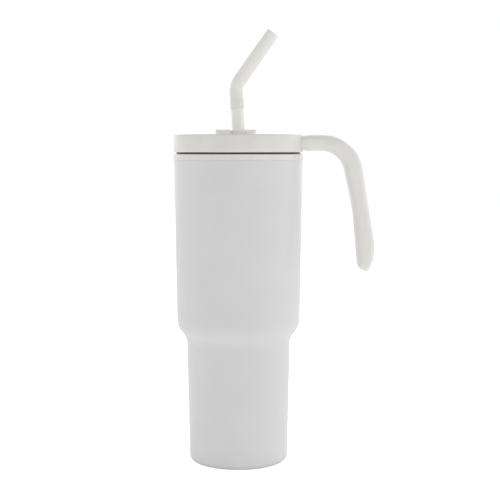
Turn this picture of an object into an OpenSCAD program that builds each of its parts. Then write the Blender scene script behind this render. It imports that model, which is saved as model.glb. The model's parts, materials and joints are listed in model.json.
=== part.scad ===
// Insulated tumbler with a screw lid, a side handle carried by the lid, a
// rotating sip closure and a bent drinking straw.
// Units: millimetres. +Z is up and +X points to the handle. The origin is the
// centre of the base pad's lower face, where the tumbler stands on a table.

/* [Body] */
// Height of the steel body, from the table to its rim
body_h = 230; // [190:1:280]
// Outer diameter of the body at its rim
mouth_d = 97.4; // [90:0.1:118]
// Outer diameter just above the shoulder
belly_d = 93.3; // [86:0.1:93.4]
// Outer diameter just under the shoulder
foot_top_d = 78.7; // [70:0.1:84]
// Outer diameter at the base, before its corner is rounded
base_d = 74.8; // [66:0.1:78]
// Height where the foot meets the shoulder
shoulder_low_z = 95; // [70:1:110]
// Vertical rise of the shoulder's slope
shoulder_rise = 8.7; // [8:0.1:14]
// Rounding at the top of the shoulder
shoulder_top_r = 15; // [4:0.5:16]
// Rounding at the bottom of the shoulder
shoulder_low_r = 12; // [4:0.5:12.5]
// Rounding of the bottom edge
corner_r = 4; // [2:0.1:6]
// Width of the lip turned in under the base
lip_w = 7.4; // [6:0.1:12]
// Height of the lip above the table
lip_z = 0.4; // [0.2:0.1:1]

/* [Walls] */
// Thickness of the outer steel shell
shell_t = 0.8; // [0.5:0.1:1.2]
// Thickness of the inner steel liner
liner_t = 0.7; // [0.5:0.1:1.2]
// Vacuum gap between the two walls
vacuum_gap = 4; // [3:0.1:5]
// Vacuum gap at the widened neck
neck_gap = 2.6; // [2.2:0.1:3.2]
// Height of the liner's floor inside the cup
liner_floor_z = 10; // [8:0.5:16]
// Rounding of the liner's bottom corner
liner_corner_r = 8; // [4:0.5:12]
// Depth of the liner's widened neck
neck_h = 25; // [23:0.5:36]

/* [Base pieces] */
// Thickness of the silicone base pad
pad_t = 0.55; // [0.4:0.05:0.7]
// Gap between the base pad's edge and the lip
pad_inset = 0.8; // [0.2:0.1:3]
// Radius of the vacuum port in the floor plate
port_r = 1; // [0.6:0.1:2]
// Radius of the getter pellet in the vacuum space
getter_r = 4.5; // [3:0.1:6]
// Height of the getter pellet
getter_h = 1.8; // [1:0.1:2.2]

/* [Collar] */
// Height of the plastic collar's visible band
collar_h = 4.6; // [3:0.1:8]
// How far the collar stands proud of the steel
collar_proud = 0.3; // [0:0.05:1]
// Thickness of the collar's threaded sleeve
sleeve_t = 1.9; // [1.6:0.1:2.4]
// Length of the sleeve below the body's rim
sleeve_h = 22; // [20:0.5:30]

/* [Thread] */
// Number of thread starts
starts = 3; // [2:1:3]
// Rise of the lid in one full turn
lead = 15; // [14:0.5:18]
// How far each thread ridge stands off its wall
ridge_h = 1.3; // [1.1:0.1:1.4]
// Height of a ridge where it meets its wall
ridge_w = 1.8; // [1.4:0.1:2]
// Angle that each ridge runs round
ridge_span = 110; // [60:5:115]
// Radial room between a ridge's crest and the facing wall
thread_gap = 0.6; // [0.4:0.1:0.8]

/* [Lid] */
// Height of the lid's outer band
band_h = 13.1; // [11:0.1:18]
// How far the lid's band lies inside the collar's edge
band_inset = 0.2; // [0:0.05:0.5]
// Wall of the lid's band
band_t = 2.6; // [2:0.1:3]
// Rounding of the band's top edge
band_top_r = 1.3; // [0.5:0.1:2]
// Rounding of the band's bottom edge
band_low_r = 0.7; // [0.3:0.1:1.2]
// Thickness of the lid's deck
deck_t = 2.4; // [2:0.1:3]
// Depth of the deck below the top of the band
deck_drop = 2.5; // [2.3:0.1:4]
// Visible height of the black gasket between collar and lid
gasket_gap = 1.2; // [1:0.1:3]
// How far the gasket's edge lies inside the band
gasket_inset = 2.1; // [1.6:0.1:2.4]
// Wall of the threaded plug
plug_t = 2.2; // [1.8:0.1:3]
// Depth of the plug below the lid's band
plug_h = 24; // [20:0.5:28]
// Thickness of the plug's flange
plug_flange_t = 2.7; // [2.4:0.1:3.4]

/* [Sip closure] */
// Distance between the sip opening and the plug's inner wall
sip_margin = 4.35; // [3:0.05:6]
// Width of the sip opening
sip_w = 16; // [12:0.5:18]
// Depth of the sip opening, towards the lid's centre
sip_d = 9; // [7:0.5:9]
// Diameter of the air vent
vent_d = 3; // [2:0.5:5]
// Width of the closure's disc outside the sip opening
dial_margin = 2.5; // [2.3:0.1:4]
// Thickness of the closure's disc
dial_t = 1.6; // [1.4:0.1:2]
// Wall of the closure's hollow hub
hub_t = 2.2; // [2:0.1:2.6]
// Distance between the long finger wing and the closure's window
wing_margin = 5.3; // [3:0.1:7]
// How much shorter the other finger wing is
wing_less = 3.6; // [0:0.1:5]
// Height of the finger wings above the lid's band
wing_h = 3.9; // [3.4:0.1:8]
// Thickness of the finger wings
wing_t = 5.2; // [3:0.1:7]
// Height of the step under the wings above the lid's band
step_h = 1.3; // [0.6:0.1:2]
// Width of the step under the wings
step_w = 9.6; // [8:0.2:14]

/* [Straw] */
// Outer diameter of the straw's tube
straw_d = 9.7; // [8:0.02:11.7]
// Wall of the straw's tube
straw_t = 1; // [0.6:0.1:1.4]
// Angle that the straw leans in its grommet
straw_lean = 3.5; // [1:0.1:3.7]
// Offset of the straw from the lid's centre, at the deck
straw_x = 0.62; // [0:0.02:0.7]
// Gap between the straw's lower end and the liner's floor
straw_foot_gap = 3.5; // [2:0.5:8]
// Height above the lid where the soft tip starts
tip_start = 19.6; // [14:0.2:40]
// Height above the lid of the tip's bend
tip_bend = 36.8; // [34:0.2:60]
// Total angle of the tip's bend
tip_angle = 38.8; // [20:0.2:60]
// Centre-line radius of the bend
tip_bend_r = 14; // [10:0.5:16]
// Length of the tip beyond the bend's corner
tip_len = 48.3; // [30:0.1:70]
// How much wider the soft tip is than the tube, over its diameter
tip_extra = 0.3; // [0.2:0.1:1]
// Wall of the tip's flared lower end, round the tube
flare_t = 0.45; // [0.4:0.05:1]
// Length of tube covered by the tip
tip_grip = 8; // [6:0.5:10]
// Height of the grommet's neck above the lid's band
neck_top = 3.7; // [3:0.1:5]
// Wall of the grommet's neck
grommet_t = 0.9; // [0.7:0.05:1]

/* [Handle] */
// Width of the handle, across the grip
handle_w = 22; // [18:0.5:28]
// Thickness of the arm
arm_t = 12; // [10.5:0.1:12.4]
// Straight length of the arm, from the lid's band to the elbow
arm_len = 14.2; // [10:0.2:24]
// Centre-line radius of the elbow
elbow_r = 24.5; // [18:0.5:32]
// Angle turned by the elbow
elbow_angle = 78; // [70:1:86]
// Thickness at the end of the elbow
elbow_t = 14; // [11:0.1:18]
// Length of the grip
grip_len = 71.6; // [60:0.2:100]
// Angle turned along the grip
grip_angle = 7.5; // [0:0.5:12]
// Thickness of the grip's slim part
waist_t = 12.8; // [10:0.1:18]
// Thickness near the grip's free end
bulb_t = 14.7; // [10:0.1:20]
// Length over which the grip's inner side rounds off at its end
end_len = 7; // [5:0.2:10]
// Length over which the grip's outer side rounds off at its end
outer_end_len = 20; // [8:0.5:30]
// Half width of the tongue that holds the handle in the lid
tongue_w = 13; // [12:0.5:14]
// Thickness of the tongue
tongue_t = 3.3; // [3:0.1:3.4]
// Distance of each handle screw from the middle
screw_y = 8; // [6:0.5:9]

/* [Hidden] */

// Overlap that lets a cutter pass a face or a ridge root into its wall
e = 0.3;
// Radial room of a turning or sliding fit
run_gap = 0.08;
// Room between pieces that move past each other
move_gap = 0.3;
// Room between pieces that are glued, welded or clipped together
seat_gap = 0.05;
// Facets of a full circle
fine = 96;
// Steps in a rounded corner of an outline
arc_steps = 8;

steel = "#c9cbcd";
shell_white = "#e9e9e9";
lid_white = "#e8e6e1";
soft_clear = "#dddcd8";
soft_black = "#1f1f1f";

// Heights up the stack
rim_z = body_h;
collar_z = rim_z + seat_gap;
collar_top_z = rim_z + collar_h;
band_z = collar_top_z + gasket_gap;
lid_top_z = band_z + band_h;
deck_z = lid_top_z - deck_drop;
deck_low_z = deck_z - deck_t;

// Radii at the neck, from the steel inwards
mouth_r = mouth_d / 2;
sleeve_or = mouth_r - shell_t - neck_gap - liner_t - seat_gap;
sleeve_ir = sleeve_or - sleeve_t;
plug_r = sleeve_ir - thread_gap - ridge_h;
plug_ir = plug_r - plug_t;
collar_r = mouth_r + collar_proud;
band_r = collar_r - band_inset;
band_ir = band_r - band_t;
gasket_r = band_r - gasket_inset;

// Outline tools. A path is a list of [radius, height, rounding] corners.
function unit(v) = v / norm(v);
function left(v) = [-v[1], v[0]];
function flat2(p) = [p[0], p[1]];
function turn_side(a, b) = sign(a[0] * b[1] - a[1] * b[0]);
function edge_dir(path, i) = unit(flat2(path[i + 1]) - flat2(path[i]));

// The path moved sideways by d, towards its left, with its corners kept true
function inset_path(path, d) = [
    for (i = [0 : len(path) - 1])
        let (
            first = i == 0,
            last = i == len(path) - 1,
            a = first ? edge_dir(path, 0) : edge_dir(path, i - 1),
            b = last ? a : edge_dir(path, i),
            m = (left(a) + left(b)) / (1 + a * b),
            p = flat2(path[i]) + d * m
        )
        [p[0], p[1], path[i][2] == 0 ? 0 : max(0.05, path[i][2] - turn_side(a, b) * d)]
];

// One rounded corner as points along its arc
function corner_arc(a, p, b, r) =
    let (
        u = unit(a - p),
        v = unit(b - p),
        half = acos(u * v) / 2,
        c = p + unit(u + v) * r / sin(half),
        from = p + u * r / tan(half) - c,
        sweep = -turn_side(u, v) * (180 - 2 * half)
    )
    [for (k = [0 : arc_steps]) c + rotate2(from, sweep * k / arc_steps)];

function rotate2(v, w) = [v[0] * cos(w) - v[1] * sin(w), v[0] * sin(w) + v[1] * cos(w)];

// The path with its corners rounded
function round_path(path) = [
    for (i = [0 : len(path) - 1])
        each (i == 0 || i == len(path) - 1 || path[i][2] == 0)
            ? [flat2(path[i])]
            : corner_arc(flat2(path[i - 1]), flat2(path[i]), flat2(path[i + 1]), path[i][2])
];

function reverse(list) = [for (i = [len(list) - 1 : -1 : 0]) list[i]];

// The closed outline of a wall of thickness t on the left of a path
function wall_outline(path, t) = concat(round_path(path), reverse(round_path(inset_path(path, t))));

// Height and radius along a straight stretch between two corners
function radius_at(a, b, z) = a[0] + (b[0] - a[0]) * (z - a[1]) / (b[1] - a[1]);

module spin(points, turn = 360) {
    rotate_extrude(angle = turn, $fn = fine) polygon(points);
}

module ring(r_in, r_out, z0, z1) {
    translate([0, 0, z0]) difference() {
        cylinder(r = r_out, h = z1 - z0, $fn = fine);
        translate([0, 0, -e]) cylinder(r = r_in, h = z1 - z0 + 2 * e, $fn = fine);
    }
}

module disc(r, z0, z1) {
    translate([0, 0, z0]) cylinder(r = r, h = z1 - z0, $fn = fine);
}

// A flat bar with round ends, centred on the origin, along X
module slot_shape(w, d) {
    square([w - d, d], center = true);
    for (side = [-1, 1]) translate([side * (w - d) / 2, 0]) circle(d = d, $fn = 48);
}

// ---------------------------------------------------------------- body ----

shell_path = [
    [base_d / 2 - lip_w, lip_z, 0],
    [base_d / 2, lip_z, corner_r],
    [foot_top_d / 2, shoulder_low_z, shoulder_low_r],
    [belly_d / 2, shoulder_low_z + shoulder_rise, shoulder_top_r],
    [mouth_r, rim_z, 0]
];
lip_r = base_d / 2 - lip_w;
floor_z = lip_z + shell_t;
floor_r = base_d / 2 - corner_r;

// The wall's inner face, which ends level with the rim
shell_inner = let (path = inset_path(shell_path, shell_t)) [
    path[0], path[1], path[2], path[3],
    [radius_at(path[3], path[4], rim_z), rim_z, 0]
];

module outer_shell() {
    color(shell_white) spin(concat(round_path(shell_path), reverse(round_path(shell_inner))));
}

// Steel plate welded over the lip, with the evacuation port in its middle
dimple_r = 5 * port_r + 2;
dimple_h = 0.8;
module shell_floor() {
    plate = [
        [port_r, floor_z + dimple_h, 0],
        [dimple_r, floor_z + dimple_h, 0.5],
        [dimple_r + dimple_h, floor_z, 0.5],
        [floor_r, floor_z, 0]
    ];
    color(steel) spin(wall_outline(plate, shell_t));
}

// Glass solder that closes the port after evacuation
module vacuum_seal() {
    color("#8a8f8a") {
        disc(port_r, floor_z + dimple_h, floor_z + dimple_h + shell_t);
        disc(2.2 * port_r, floor_z + dimple_h - 0.6, floor_z + dimple_h);
    }
}

liner_low_z = liner_floor_z - liner_t;
getter_z = liner_low_z - getter_h;

// Small steel cup, welded under the liner, that holds the getter
module getter_cup() {
    color(steel) {
        ring(getter_r + seat_gap, getter_r + 0.6, getter_z, liner_low_z);
        disc(getter_r + 0.6, getter_z - 0.5, getter_z);
    }
}

// Pellet that keeps the vacuum
module getter() {
    color("#6b6d70") disc(getter_r, getter_z, liner_low_z);
}

// Cover plate glued inside the lip
module base_disc() {
    color(steel) disc(lip_r - seat_gap, pad_t, floor_z - seat_gap);
}

module base_pad() {
    color(soft_clear) disc(lip_r - pad_inset, 0, pad_t);
}

liner_path = let (
    gap = shell_t + vacuum_gap,
    shell = inset_path(shell_path, gap),
    neck_z = rim_z - neck_h,
    neck_r = sleeve_or + seat_gap + liner_t,
    step = neck_r - radius_at(shell[3], shell[4], neck_z - 2.5)
) [
    [0, liner_low_z, 0],
    [radius_at(shell[1], shell[2], liner_low_z), liner_low_z, liner_corner_r],
    [shell[2][0], shell[2][1], shell[2][2]],
    [shell[3][0], shell[3][1], shell[3][2]],
    [neck_r - step, neck_z - step, 1.2],
    [neck_r, neck_z, 1.2],
    [neck_r, rim_z - liner_t, liner_t + 0.3],
    [radius_at(shell_inner[3], shell_inner[4], rim_z - liner_t), rim_z - liner_t, 0]
];

module inner_liner() {
    color(steel) spin(wall_outline(liner_path, liner_t));
}

// -------------------------------------------------------------- threads ----

// One thread ridge: a helical bar with a trapezium section. It starts at angle
// a0 and height z0 and climbs by the lead over a full turn; out is 1 on the
// plug and -1 on the sleeve. Its ends taper into the wall.
ridge_step = 5;
function ridge_section(wall, out, tall) =
    let (w = ridge_w / 2, top = 0.3 * ridge_w, root = wall - out * e, tip = wall + out * max(0.05, tall * ridge_h))
    [[root, -w], [root, w], [tip, top], [tip, -top]];

module ridge(wall, out, a0, z0) {
    n = round(ridge_span / ridge_step);
    points = [
        for (k = [0 : n])
            let (
                a = a0 + k * ridge_step,
                z = z0 + lead * k * ridge_step / 360,
                tall = min(1, k / 3, (n - k) / 3)
            )
            for (p = ridge_section(wall, out, tall)) [p[0] * cos(a), p[0] * sin(a), z + p[1]]
    ];
    sides = [
        for (k = [0 : n - 1])
            for (j = [0 : 3])
                let (a = 4 * k + j, b = 4 * k + (j + 1) % 4)
                each [[a, b, b + 4], [a, b + 4, a + 4]]
    ];
    caps = [[3, 2, 1, 0], [for (j = [0 : 3]) 4 * n + j]];
    faces = concat(sides, caps);
    polyhedron(points, out > 0 ? [for (f = faces) reverse(f)] : faces);
}

// --------------------------------------------------------------- collar ----

sleeve_ridge_z = rim_z - 8;
module rim_collar() {
    outline = [
        [sleeve_ir, rim_z - sleeve_h + 2, 0],
        [sleeve_ir, rim_z - sleeve_h, 0.5],
        [sleeve_or, rim_z - sleeve_h, 0.5],
        [sleeve_or, collar_z, 0],
        [collar_r, collar_z, 0.4],
        [collar_r, collar_top_z, 1.1],
        [sleeve_ir, collar_top_z, 0.6],
        [sleeve_ir, collar_top_z - 2, 0]
    ];
    color(lid_white) {
        spin(round_path(outline));
        for (k = [0 : starts - 1]) ridge(sleeve_ir, -1, k * 360 / starts, sleeve_ridge_z);
    }
}

// ------------------------------------------------------------------ lid ----

flange_top_z = band_z + plug_flange_t;
flange_r = band_ir - seat_gap;
post_or = plug_r - 2.5;
post_ir = post_or - 2.4;
plug_low_z = band_z - plug_h;

// Groove under the plug's flange that holds the gasket's bead
bead_r = (plug_r + gasket_r) / 2 - 0.1;
bead_w = 1.3;
bead_h = 1.3;

module lid_gasket() {
    outline = [
        [bead_r - 1.6, collar_top_z + seat_gap],
        [gasket_r, collar_top_z + seat_gap],
        [gasket_r, band_z - seat_gap],
        [bead_r + bead_w / 2, band_z - seat_gap],
        [bead_r + bead_w / 2, band_z + bead_h],
        [bead_r - bead_w / 2, band_z + bead_h],
        [bead_r - bead_w / 2, band_z - seat_gap],
        [bead_r - 1.6, band_z - seat_gap]
    ];
    color(soft_black) spin(outline);
}

tube_r = straw_d / 2;
neck_or = tube_r + grommet_t;
grommet_body_r = neck_or + 0.45;
hub_drop = 6.9;
hub_bore_r = grommet_body_r + straw_x + hub_drop * tan(straw_lean) + move_gap;
hub_r = hub_bore_r + hub_t;
sip_at = post_ir - sip_margin - sip_d / 2;
dial_r = sip_at + sip_d / 2 + dial_margin;
wing_long = sip_at - sip_d / 2 - wing_margin;
wing_short = wing_long - wing_less;
deck_bore_r = hub_r + run_gap;
boss_r = hub_r + 4.2;
boss_low_z = deck_z - 4.4;
screw_at = (post_or + band_ir) / 2;
screw_x = sqrt(screw_at * screw_at - screw_y * screw_y);
tongue_z = flange_top_z + 0.25;
tongue_top_z = tongue_z + tongue_t;
screw_r = 1.4;
head_r = 2.8;
head_h = 1.7;

module at_screws() {
    for (side = [-1, 1]) translate([screw_x, side * screw_y, 0]) children();
}

module at_sip() {
    translate([0, -sip_at, 0]) children();
}

module lid_top() {
    outline = [
        [band_ir, deck_low_z, 0],
        [band_ir, band_z, 0.3],
        [band_r, band_z, band_low_r],
        [band_r, lid_top_z, band_top_r],
        [band_ir, lid_top_z, 0.9],
        [band_ir, deck_z, 0.9],
        [deck_bore_r, deck_z, 0],
        [deck_bore_r, boss_low_z, 0],
        [boss_r, boss_low_z, 0.5],
        [boss_r, deck_low_z, 0]
    ];
    color(lid_white) difference() {
        union() {
            spin(round_path(outline));
            at_screws() disc(head_r + 0.6, tongue_top_z + seat_gap, deck_low_z + e);
        }
        at_sip() translate([0, 0, deck_low_z - e]) linear_extrude(deck_t + 2 * e) slot_shape(sip_w, sip_d);
        translate([0, sip_at, 0]) disc(vent_d / 2, deck_low_z - e, deck_z + e);
        at_screws() disc(screw_r + 0.02, tongue_z, deck_z - 0.6);
        translate([0, -tongue_w - 0.1, tongue_z - 0.1])
            cube([band_r + 5, 2 * tongue_w + 0.2, tongue_t + 0.2]);
    }
}

module lid_plug() {
    groove = bead_w / 2 + 0.1;
    outline = [
        [plug_ir, plug_low_z + 2, 0],
        [plug_ir, plug_low_z, 0.6],
        [plug_r, plug_low_z, 0.9],
        [plug_r, band_z, 0],
        [bead_r - groove, band_z, 0],
        [bead_r - groove, band_z + bead_h + 0.1, 0],
        [bead_r + groove, band_z + bead_h + 0.1, 0],
        [bead_r + groove, band_z, 0],
        [flange_r, band_z, 0],
        [flange_r, flange_top_z, 0],
        [post_or, flange_top_z, 0.5],
        [post_or, deck_low_z, 0],
        [post_ir, deck_low_z, 0],
        [post_ir, band_z, 0],
        [plug_ir, band_z, 0]
    ];
    color(lid_white) {
        spin(round_path(outline));
        for (k = [0 : starts - 1]) ridge(plug_r, 1, k * 360 / starts, sleeve_ridge_z - lead / starts / 2);
    }
}

// --------------------------------------------------------------- handle ----

arm_z = lid_top_z - arm_t / 2;
arm_start = band_r - 2;
elbow_x = band_r + arm_len;
grip_r = grip_len / (grip_angle * PI / 180);
elbow_end = [elbow_x + elbow_r * sin(elbow_angle), arm_z - elbow_r * (1 - cos(elbow_angle))];
grip_end = elbow_end + grip_r * [
    sin(elbow_angle + grip_angle) - sin(elbow_angle),
    cos(elbow_angle + grip_angle) - cos(elbow_angle)
];
root_w = 2 * tongue_w + 2;
squareness = 3;
section_points = 28;

function smooth(a, b, u) = let (k = max(0, min(1, u))) a + (b - a) * k * k * (3 - 2 * k);
function bulge(v) = sign(v) * pow(abs(v), 2 / squareness);

// What is left of half the thickness at a distance past the start of a rounded
// end; a lower fullness gives a more pointed end
function left_of(past, length, fullness) =
    past <= 0 ? 1 : pow(max(0, 1 - pow(past / length, fullness)), 1 / fullness);

// A station of the grip, with its outer and inner sides rounded off apart
function grip_station(x, z, a, along, t) =
    let (
        outer = t / 2 * left_of(along - grip_len - end_len + outer_end_len, outer_end_len, 1.6),
        inner = t / 2 * left_of(along - grip_len, end_len, 2),
        shift = (outer - inner) / 2
    )
    [x + shift * sin(a), z + shift * cos(a), a, outer + inner, handle_w - t + 2 * inner];

// Stations along the handle: [x, z, heading, thickness, width]
handle_stations = concat(
    [for (k = [0 : 7]) let (x = arm_start + (elbow_x - arm_start) * k / 8)
        [x, arm_z, 0, smooth(arm_t - 1.1, arm_t, (x - band_r - 0.5) / 3), smooth(root_w, handle_w, k / 10)]],
    [for (k = [0 : 15]) let (a = elbow_angle * k / 16)
        [elbow_x + elbow_r * sin(a), arm_z - elbow_r * (1 - cos(a)), a, smooth(arm_t, elbow_t, k / 16),
            smooth(root_w, handle_w, (k + 8) / 10)]],
    [for (k = [0 : 19]) let (u = k / 20, a = elbow_angle + grip_angle * u)
        grip_station(
            elbow_end[0] + grip_r * (sin(a) - sin(elbow_angle)),
            elbow_end[1] + grip_r * (cos(a) - cos(elbow_angle)), a, grip_len * u,
            u < 0.35 ? smooth(elbow_t, waist_t, u / 0.35) : smooth(waist_t, bulb_t, (u - 0.35) / 0.5)
        )],
    [for (k = [0 : 7]) let (past = end_len * sin(90 * k / 7.15), a = elbow_angle + grip_angle)
        grip_station(
            grip_end[0] + past * cos(a), grip_end[1] - past * sin(a), a, grip_len + past, bulb_t
        )]
);

module handle_body() {
    n = len(handle_stations);
    m = section_points;
    points = [
        for (s = handle_stations)
            for (j = [0 : m - 1])
                let (
                    out = s[3] / 2 * bulge(cos(360 * (j + 0.5) / m)),
                    y = s[4] / 2 * bulge(sin(360 * (j + 0.5) / m))
                )
                [s[0] + out * sin(s[2]), y, s[1] + out * cos(s[2])]
    ];
    sides = [
        for (k = [0 : n - 2])
            for (j = [0 : m - 1])
                let (a = m * k + j, b = m * k + (j + 1) % m)
                each [[a, b, b + m], [a, b + m, a + m]]
    ];
    caps = [[for (j = [m - 1 : -1 : 0]) j], [for (j = [0 : m - 1]) m * (n - 1) + j]];
    polyhedron(points, concat(caps, sides));
}

module handle() {
    color(lid_white) {
        difference() {
            handle_body();
            disc(band_r + seat_gap, arm_z - arm_t, arm_z + arm_t);
        }
        difference() {
            intersection() {
                ring(post_or + 0.35, band_r + 2, tongue_z, tongue_top_z);
                translate([0, -tongue_w, tongue_z - e]) cube([band_r + 5, 2 * tongue_w, tongue_t + 2 * e]);
            }
            at_screws() disc(screw_r + 0.3, tongue_z - e, tongue_top_z + e);
            at_screws() disc(head_r + 0.2, tongue_z - e, tongue_z + head_h + seat_gap);
        }
    }
}

module handle_screws() {
    color(steel) at_screws() difference() {
        union() {
            disc(screw_r, tongue_z + head_h, deck_z - 0.8);
            disc(head_r, tongue_z + seat_gap, tongue_z + head_h);
        }
        translate([0, 0, tongue_z]) cylinder(r = 1.2, h = 1.1, $fn = 6);
    }
}

// -------------------------------------------------------------- closure ----

dial_low_z = deck_z + 0.4;
dial_top_z = dial_low_z + dial_t;
step_top_z = lid_top_z + step_h;
wing_top_z = lid_top_z + wing_h;
oring_t = 1.5;
oring_z = deck_z - 2.8;
oring_r = hub_r + 0.03 - oring_t / 2;
oring_groove_r = oring_r - oring_t / 2 - 0.03;
clip_t = 1.2;
clip_top_z = boss_low_z - move_gap - 0.1;
groove_r = hub_r - 1.2;
hub_low_z = deck_z - hub_drop;
grommet_flange_r = hub_bore_r + 0.3;
flange_tilt = grommet_flange_r * sin(straw_lean);
pocket_low_z = deck_z - flange_tilt - 0.7;
pocket_r = grommet_flange_r + 0.7;
pad_d = sip_d + 4;
pad_w = sip_w + 4;
vent_pad_r = vent_d / 2 + 2.5;
pad_top_z = dial_low_z + 0.7;

// Moves its children onto the leaning axis of the straw, where z = 0 is the
// height of the deck
module on_straw_axis() {
    translate([straw_x, 0, deck_z]) rotate([0, -straw_lean, 0]) children();
}

module wing_bar(width, z0, z1) {
    translate([(wing_short - wing_long) / 2, 0, z0])
        linear_extrude(z1 - z0) slot_shape(wing_short + wing_long, width);
}

module closure_dial() {
    color(lid_white) difference() {
        union() {
            spin(round_path([
                [0, dial_low_z, 0],
                [dial_r, dial_low_z, 0.3],
                [dial_r, dial_top_z, 0.6],
                [0, dial_top_z, 0]
            ]));
            disc(hub_r, hub_low_z, dial_low_z + e);
            wing_bar(step_w, dial_top_z - e, step_top_z);
            wing_bar(wing_t, step_top_z - e, wing_top_z);
        }
        disc(hub_bore_r, hub_low_z - e, pocket_low_z + e);
        disc(pocket_r, pocket_low_z, dial_top_z);
        translate([straw_x - (wing_top_z - deck_z) / 2 * tan(straw_lean), 0, 0])
            disc(neck_or + 0.7, dial_top_z - e, wing_top_z + e);
        ring(oring_groove_r, hub_r + e, oring_z - oring_t / 2 - 0.1, oring_z + oring_t / 2 + 0.1);
        ring(groove_r, hub_r + e, clip_top_z - clip_t, clip_top_z);
        rotate([0, 0, -90]) at_sip() translate([0, 0, dial_low_z - e])
            linear_extrude(dial_t + 2 * e) slot_shape(sip_w, sip_d);
        at_sip() translate([0, 0, dial_low_z - e]) linear_extrude(pad_top_z - dial_low_z + e)
            slot_shape(pad_w, pad_d);
        translate([0, sip_at, 0]) disc(vent_pad_r, dial_low_z - e, pad_top_z);
    }
}

// Soft pads under the disc, which press on the two openings
module sip_seal() {
    color(soft_clear) at_sip() translate([0, 0, deck_z + seat_gap])
        linear_extrude(pad_top_z - deck_z - seat_gap) slot_shape(pad_w - 0.1, pad_d - 0.1);
}

module vent_seal() {
    color(soft_clear) translate([0, sip_at, 0]) disc(vent_pad_r - seat_gap, deck_z + seat_gap, pad_top_z);
}

module hub_oring() {
    color(soft_clear) translate([0, 0, oring_z]) rotate_extrude($fn = fine)
        translate([oring_r, 0]) circle(d = oring_t, $fn = 32);
}

// Split clip in the hub's lower groove, which keeps the closure in the deck
module dial_retainer() {
    clip = [
        [groove_r + seat_gap, clip_top_z - clip_t + seat_gap],
        [hub_r + 2.2, clip_top_z - clip_t + seat_gap],
        [hub_r + 2.2, clip_top_z - seat_gap],
        [groove_r + seat_gap, clip_top_z - seat_gap]
    ];
    color(steel) rotate([0, 0, 110]) spin(clip, 320);
}

// ---------------------------------------------------------------- straw ----

straw_ir = tube_r - straw_t;
grommet_low = hub_low_z - deck_z - flange_tilt - move_gap;
tube_low = (liner_floor_z + straw_foot_gap - deck_z) / cos(straw_lean);
tip_low = (lid_top_z + tip_start - deck_z) / cos(straw_lean);
tip_corner = (lid_top_z + tip_bend - deck_z) / cos(straw_lean);
bend_tangent = tip_bend_r * tan(tip_angle / 2);
bend_low = tip_corner - bend_tangent;
tip_r = tube_r + tip_extra / 2;
flare_r = tube_r + flare_t;
// The bend is slimmer than the straight runs that it enters, by this much on
// each face, so that its ends lie wholly inside their walls
weld_step = 0.03;

module straw_grommet() {
    bore = tube_r + run_gap;
    outline = [
        [bore, grommet_low - 1.2, 0],
        [grommet_flange_r, grommet_low - 1.2, 0.4],
        [grommet_flange_r, grommet_low, 0.4],
        [grommet_body_r, grommet_low, 0],
        [grommet_body_r, 0, 0],
        [grommet_flange_r, 0, 0.4],
        [grommet_flange_r, 1, 0.4],
        [neck_or, 1, 0],
        [neck_or, lid_top_z + neck_top - deck_z, 0.3],
        [bore, lid_top_z + neck_top - deck_z, 0]
    ];
    color(soft_clear) on_straw_axis() spin(round_path(outline));
}

module straw_tube() {
    color(lid_white) on_straw_axis() ring(straw_ir, tube_r, tube_low, tip_low + tip_grip);
}

module straw_tip() {
    bend_end = [
        tip_bend_r * (1 - cos(tip_angle)),
        0,
        bend_low + tip_bend_r * sin(tip_angle)
    ];
    flare_top = tip_low + tip_grip + 1;
    sleeve = [
        [tube_r + 0.02, tip_low],
        [flare_r, tip_low],
        [tip_r, flare_top],
        [tip_r, bend_low],
        [straw_ir, bend_low],
        [straw_ir, tip_low + tip_grip + seat_gap],
        [tube_r + 0.02, tip_low + tip_grip + seat_gap]
    ];
    color(lid_white) on_straw_axis() {
        spin(sleeve);
        translate([tip_bend_r, 0, bend_low]) rotate([90, 0, 0]) rotate([0, 0, 180 - tip_angle - 1])
            rotate_extrude(angle = tip_angle + 2, $fn = fine) translate([tip_bend_r, 0]) difference() {
                circle(r = tip_r - weld_step, $fn = fine);
                circle(r = straw_ir + weld_step, $fn = fine);
            }
        translate(bend_end) rotate([0, tip_angle, 0]) ring(straw_ir, tip_r, 0, tip_len - bend_tangent);
    }
}

outer_shell();
shell_floor();
vacuum_seal();
getter_cup();
getter();
base_disc();
base_pad();
inner_liner();
rim_collar();
lid_gasket();
lid_top();
lid_plug();
handle();
handle_screws();
closure_dial();
sip_seal();
vent_seal();
hub_oring();
dial_retainer();
straw_grommet();
straw_tube();
straw_tip();
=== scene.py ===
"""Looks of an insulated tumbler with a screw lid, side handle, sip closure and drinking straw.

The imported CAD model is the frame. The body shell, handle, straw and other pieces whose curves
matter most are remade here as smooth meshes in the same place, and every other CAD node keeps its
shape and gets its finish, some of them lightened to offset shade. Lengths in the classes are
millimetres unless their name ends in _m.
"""

from __future__ import annotations

import json
import logging
import math
from dataclasses import dataclass, field
from enum import Enum
from typing import Sequence

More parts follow.
